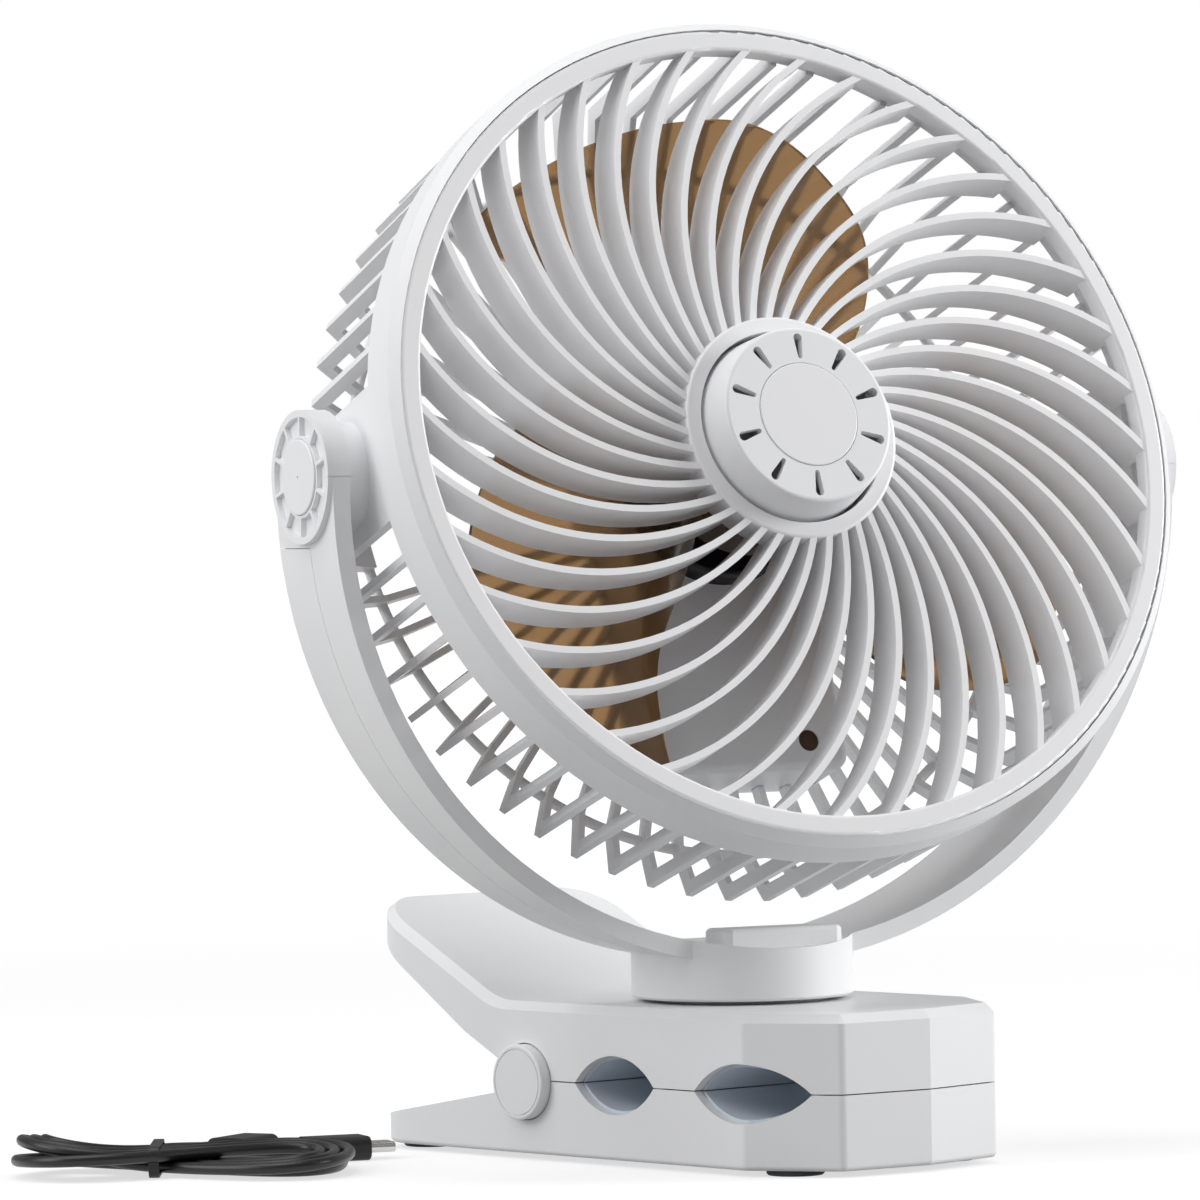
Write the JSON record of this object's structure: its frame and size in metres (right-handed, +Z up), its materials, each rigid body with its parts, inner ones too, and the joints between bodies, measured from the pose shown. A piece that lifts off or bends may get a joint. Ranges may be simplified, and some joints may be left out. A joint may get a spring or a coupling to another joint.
{
  "type": "portable clip-on camping fan",
  "caption": "Portable camping fan: caged head with swirl grille tilts in a U-shaped yoke that swivels on a spring clip base; charging cable lies beside it.",
  "frame": {"origin": "on the floor, under the swivel axis of the yoke", "axes": "+Z up, -Y out of the nose of the clip, +Y towards its handles, +X to the clip's left seen from the nose"},
  "size_m": [0.2715, 0.1819, 0.279],
  "materials": {
    "white_plastic": "fine satin moulded plastic",
    "grille_plastic": "fine satin moulded plastic",
    "hub_plastic": "satin moulded plastic",
    "badge": "gloss printed disc, blank",
    "pad_rubber": "matt moulded silicone rubber",
    "foot_rubber": "matt rubber",
    "inner_plastic": "as moulded",
    "grey_plastic": "satin moulded plastic",
    "amber_plastic": "translucent tinted plastic",
    "motor_black": "satin",
    "copper_core": "varnished",
    "board": "solder mask",
    "steel": "zinc plated",
    "spring_steel": "bright",
    "connector_metal": "nickel plated",
    "cable_black": "matt black flexible jacket",
    "plug_black": "satin black overmould",
    "battery_wrap": "shrink film",
    "button_plastic": "satin",
    "lens_plastic": "clear light guide"
  },
  "bodies": {
    "lower_jaw": {"lower_shell": "white_plastic", "lower_jaw_plate": "inner_plastic", "lower_rubber_pad": "pad_rubber", "lower_grip_cover": "white_plastic", "rubber_feet": "foot_rubber", "base_screws": "steel", "hinge_pin": "steel", "hinge_cap_left": "white_plastic", "hinge_cap_right": "white_plastic", "torsion_spring": "spring_steel", "cable_hank": "cable_black", "cable_tie": "cable_black", "cable_lead_1": "cable_black", "cable_lead_2": "cable_black", "plug_overmold_1": "plug_black", "plug_overmold_2": "plug_black", "plug_shell_1": "connector_metal", "plug_shell_2": "connector_metal"},
    "upper_jaw": {"upper_shell": "white_plastic", "upper_jaw_plate": "inner_plastic", "upper_rubber_pad": "pad_rubber", "upper_grip_cover": "white_plastic", "battery_pack": "battery_wrap"},
    "yoke": {"yoke": "white_plastic", "arm_cover_left": "white_plastic", "arm_cover_right": "white_plastic", "pivot_cap_left": "white_plastic", "pivot_cap_right": "white_plastic", "swivel_cap": "white_plastic", "swivel_retainer": "steel", "swivel_screws": "steel"},
    "head": {"front_grille": "grille_plastic", "hub_cap": "hub_plastic", "hub_badge": "badge", "rear_shell": "white_plastic", "motor_housing": "grey_plastic", "housing_screw": "steel", "pivot_screw_left": "steel", "pivot_screw_right": "steel", "motor_can": "motor_black", "motor_stator": "copper_core", "control_board": "board", "usb_socket": "connector_metal", "led_lens": "lens_plastic"},
    "power_button": {"power_button": "button_plastic"},
    "rotor": {"impeller": "amber_plastic", "rotor_shaft": "steel", "rotor_nut": "steel"}
  },
  "joints": [
    {"name": "jaw_hinge", "type": "hinge", "parent": "lower_jaw", "child": "upper_jaw", "pos_m": [0, 0.0378, 0.0193], "axis": [-1, 0, 0], "range_deg": [0, 30], "stiffness_Nm_per_rad": 0.4, "springref_deg": -68.75, "deforming": ["torsion_spring"]},
    {"name": "swivel", "type": "hinge", "parent": "upper_jaw", "child": "yoke", "pos_m": [0, 0, 0.04], "axis": [0, 0, 1], "range_deg": [-155.6, 184.4]},
    {"name": "tilt", "type": "hinge", "parent": "yoke", "child": "head", "pos_m": [0, 0, 0.169], "axis": [-0.9686, 0.2487, 0], "range_deg": [-108.6, 71.4]},
    {"name": "rotor_spin", "type": "hinge", "parent": "head", "child": "rotor", "pos_m": [0, 0, 0.169], "axis": [-0.2357, -0.918, 0.319], "continuous": true},
    {"name": "button_press", "type": "slide", "parent": "head", "child": "power_button", "axis": [-0.2357, -0.918, 0.319], "range_m": [0, 0.0008], "stiffness_N_per_m": 800, "springref_m": -0.001}
  ]
}
